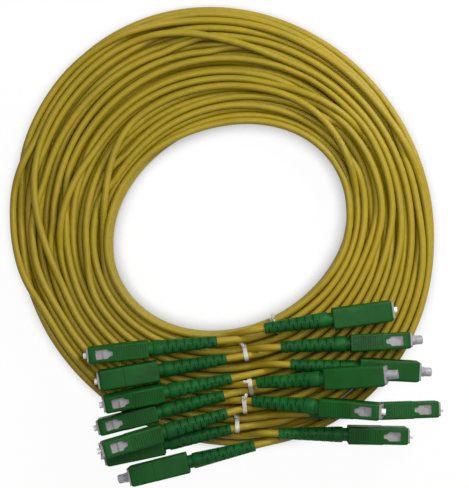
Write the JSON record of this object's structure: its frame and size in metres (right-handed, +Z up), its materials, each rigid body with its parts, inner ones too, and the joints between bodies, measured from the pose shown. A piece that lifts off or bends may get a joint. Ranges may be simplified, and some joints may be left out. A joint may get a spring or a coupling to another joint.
{
  "type": "fiber optic patch cord",
  "caption": "Fibre optic patch cords with green angled push-pull connectors on both ends, wound into one round coil and tied; they join optical network equipment.",
  "frame": {"origin": "middle of the bundle's footprint, on the surface it lies on", "axes": "+Z up; +Y from the connectors across the coil; +X to the side that the b ends point to"},
  "size_m": [0.1824, 0.2041, 0.036],
  "materials": {
    "jacket": "smooth extruded jacket, satin",
    "boot": "moulded, slightly satin",
    "housing": "moulded, satin gloss",
    "plug_frame": "moulded, pale grey",
    "ferrule": "polished white ceramic",
    "cap": "translucent soft cap",
    "tie": "white band",
    "buffer": "smooth buffer",
    "crimp": "nickel plated",
    "stop_ring": "turned",
    "spring": "spring wire"
  },
  "bodies": {
    "root": {"coil_core": "jacket", "cord_1": "jacket", "cord_2": "jacket", "cord_3": "jacket", "cord_4": "jacket", "cord_5": "jacket", "cord_6": "jacket", "cord_7": "jacket", "ties": "tie", "cable_ends": "jacket", "boots": "boot", "crimp_sleeves": "crimp", "stop_rings": "stop_ring", "springs": "spring", "buffer_fibres": "buffer", "plug_frames": "plug_frame"},
    "outer_housing_a1": {"outer_housing_a1": "housing"},
    "ferrule_a1": {"ferrule_a1": "ferrule"},
    "outer_housing_a2": {"outer_housing_a2": "housing"},
    "ferrule_a2": {"ferrule_a2": "ferrule"},
    "outer_housing_a3": {"outer_housing_a3": "housing"},
    "ferrule_a3": {"ferrule_a3": "ferrule"},
    "outer_housing_a4": {"outer_housing_a4": "housing"},
    "ferrule_a4": {"ferrule_a4": "ferrule"},
    "outer_housing_a5": {"outer_housing_a5": "housing"},
    "ferrule_a5": {"ferrule_a5": "ferrule"},
    "outer_housing_a6": {"outer_housing_a6": "housing"},
    "ferrule_a6": {"ferrule_a6": "ferrule"},
    "outer_housing_a7": {"outer_housing_a7": "housing"},
    "ferrule_a7": {"ferrule_a7": "ferrule"},
    "dust_cap_a7": {"dust_cap_a7": "cap"},
    "outer_housing_b1": {"outer_housing_b1": "housing"},
    "ferrule_b1": {"ferrule_b1": "ferrule"},
    "outer_housing_b2": {"outer_housing_b2": "housing"},
    "ferrule_b2": {"ferrule_b2": "ferrule"},
    "dust_cap_b2": {"dust_cap_b2": "cap"},
    "outer_housing_b3": {"outer_housing_b3": "housing"},
    "ferrule_b3": {"ferrule_b3": "ferrule"},
    "dust_cap_b3": {"dust_cap_b3": "cap"},
    "outer_housing_b4": {"outer_housing_b4": "housing"},
    "ferrule_b4": {"ferrule_b4": "ferrule"},
    "dust_cap_b4": {"dust_cap_b4": "cap"},
    "outer_housing_b5": {"outer_housing_b5": "housing"},
    "ferrule_b5": {"ferrule_b5": "ferrule"},
    "outer_housing_b6": {"outer_housing_b6": "housing"},
    "ferrule_b6": {"ferrule_b6": "ferrule"},
    "outer_housing_b7": {"outer_housing_b7": "housing"},
    "ferrule_b7": {"ferrule_b7": "ferrule"}
  },
  "joints": [
    {"name": "housing_a1_slide", "type": "slide", "parent": "root", "child": "outer_housing_a1", "axis": [-0.9932, -0.1044, 0.0523], "range_m": [-0.002, 0]},
    {"name": "ferrule_a1_push", "type": "slide", "parent": "root", "child": "ferrule_a1", "axis": [-0.9932, -0.1044, 0.0523], "range_m": [-0.0018, 0], "stiffness_N_per_m": 1000, "deforming": ["springs"]},
    {"name": "housing_a2_slide", "type": "slide", "parent": "root", "child": "outer_housing_a2", "axis": [-0.9839, -0.1646, 0.0698], "range_m": [-0.002, 0]},
    {"name": "ferrule_a2_push", "type": "slide", "parent": "root", "child": "ferrule_a2", "axis": [-0.9839, -0.1646, 0.0698], "range_m": [-0.0018, 0], "stiffness_N_per_m": 1000, "deforming": ["springs"]},
    {"name": "housing_a3_slide", "type": "slide", "parent": "root", "child": "outer_housing_a3", "axis": [-0.9762, -0.1898, 0.1045], "range_m": [-0.002, 0]},
    {"name": "ferrule_a3_push", "type": "slide", "parent": "root", "child": "ferrule_a3", "axis": [-0.9762, -0.1898, 0.1045], "range_m": [-0.0018, 0], "stiffness_N_per_m": 1000, "deforming": ["springs"]},
    {"name": "housing_a4_slide", "type": "slide", "parent": "root", "child": "outer_housing_a4", "axis": [-0.969, -0.2416, 0.0523], "range_m": [-0.002, 0]},
    {"name": "ferrule_a4_push", "type": "slide", "parent": "root", "child": "ferrule_a4", "axis": [-0.969, -0.2416, 0.0523], "range_m": [-0.0018, 0], "stiffness_N_per_m": 1000, "deforming": ["springs"]},
    {"name": "housing_a5_slide", "type": "slide", "parent": "root", "child": "outer_housing_a5", "axis": [-0.9412, -0.2522, 0.225], "range_m": [-0.002, 0]},
    {"name": "ferrule_a5_push", "type": "slide", "parent": "root", "child": "ferrule_a5", "axis": [-0.9412, -0.2522, 0.225], "range_m": [-0.0018, 0], "stiffness_N_per_m": 1000, "deforming": ["springs"]},
    {"name": "housing_a6_slide", "type": "slide", "parent": "root", "child": "outer_housing_a6", "axis": [-0.9781, -0.2079, 0], "range_m": [-0.002, 0]},
    {"name": "ferrule_a6_push", "type": "slide", "parent": "root", "child": "ferrule_a6", "axis": [-0.9781, -0.2079, 0], "range_m": [-0.0018, 0], "stiffness_N_per_m": 1000, "deforming": ["springs"]},
    {"name": "housing_a7_slide", "type": "slide", "parent": "root", "child": "outer_housing_a7", "axis": [-0.9703, -0.2419, 0], "range_m": [-0.002, 0]},
    {"name": "ferrule_a7_push", "type": "slide", "parent": "root", "child": "ferrule_a7", "axis": [-0.9703, -0.2419, 0], "range_m": [-0.0018, 0], "stiffness_N_per_m": 1000, "deforming": ["springs"]},
    {"name": "dust_cap_a7_pull", "type": "slide", "parent": "root", "child": "dust_cap_a7", "axis": [-0.9703, -0.2419, 0], "range_m": [0, 0.012]},
    {"name": "housing_b1_slide", "type": "slide", "parent": "root", "child": "outer_housing_b1", "axis": [0.9903, 0.1392, 0], "range_m": [-0.002, 0]},
    {"name": "ferrule_b1_push", "type": "slide", "parent": "root", "child": "ferrule_b1", "axis": [0.9903, 0.1392, 0], "range_m": [-0.0018, 0], "stiffness_N_per_m": 1000, "deforming": ["springs"]},
    {"name": "housing_b2_slide", "type": "slide", "parent": "root", "child": "outer_housing_b2", "axis": [0.9986, 0.0523, 0], "range_m": [-0.002, 0]},
    {"name": "ferrule_b2_push", "type": "slide", "parent": "root", "child": "ferrule_b2", "axis": [0.9986, 0.0523, 0], "range_m": [-0.0018, 0], "stiffness_N_per_m": 1000, "deforming": ["springs"]},
    {"name": "dust_cap_b2_pull", "type": "slide", "parent": "root", "child": "dust_cap_b2", "axis": [0.9986, 0.0523, 0], "range_m": [0, 0.012]},
    {"name": "housing_b3_slide", "type": "slide", "parent": "root", "child": "outer_housing_b3", "axis": [0.9986, -0.0523, 0], "range_m": [-0.002, 0]},
    {"name": "ferrule_b3_push", "type": "slide", "parent": "root", "child": "ferrule_b3", "axis": [0.9986, -0.0523, 0], "range_m": [-0.0018, 0], "stiffness_N_per_m": 1000, "deforming": ["springs"]},
    {"name": "dust_cap_b3_pull", "type": "slide", "parent": "root", "child": "dust_cap_b3", "axis": [0.9986, -0.0523, 0], "range_m": [0, 0.012]},
    {"name": "housing_b4_slide", "type": "slide", "parent": "root", "child": "outer_housing_b4", "axis": [0.9666, 0.0846, 0.2419], "range_m": [-0.002, 0]},
    {"name": "ferrule_b4_push", "type": "slide", "parent": "root", "child": "ferrule_b4", "axis": [0.9666, 0.0846, 0.2419], "range_m": [-0.0018, 0], "stiffness_N_per_m": 1000, "deforming": ["springs"]},
    {"name": "dust_cap_b4_pull", "type": "slide", "parent": "root", "child": "dust_cap_b4", "axis": [0.9666, 0.0846, 0.2419], "range_m": [0, 0.012]},
    {"name": "housing_b5_slide", "type": "slide", "parent": "root", "child": "outer_housing_b5", "axis": [0.969, -0.0508, 0.2419], "range_m": [-0.002, 0]},
    {"name": "ferrule_b5_push", "type": "slide", "parent": "root", "child": "ferrule_b5", "axis": [0.969, -0.0508, 0.2419], "range_m": [-0.0018, 0], "stiffness_N_per_m": 1000, "deforming": ["springs"]},
    {"name": "housing_b6_slide", "type": "slide", "parent": "root", "child": "outer_housing_b6", "axis": [0.9994, 0.0349, 0], "range_m": [-0.002, 0]},
    {"name": "ferrule_b6_push", "type": "slide", "parent": "root", "child": "ferrule_b6", "axis": [0.9994, 0.0349, 0], "range_m": [-0.0018, 0], "stiffness_N_per_m": 1000, "deforming": ["springs"]},
    {"name": "housing_b7_slide", "type": "slide", "parent": "root", "child": "outer_housing_b7", "axis": [0.9998, -0.0175, 0], "range_m": [-0.002, 0]},
    {"name": "ferrule_b7_push", "type": "slide", "parent": "root", "child": "ferrule_b7", "axis": [0.9998, -0.0175, 0], "range_m": [-0.0018, 0], "stiffness_N_per_m": 1000, "deforming": ["springs"]}
  ]
}
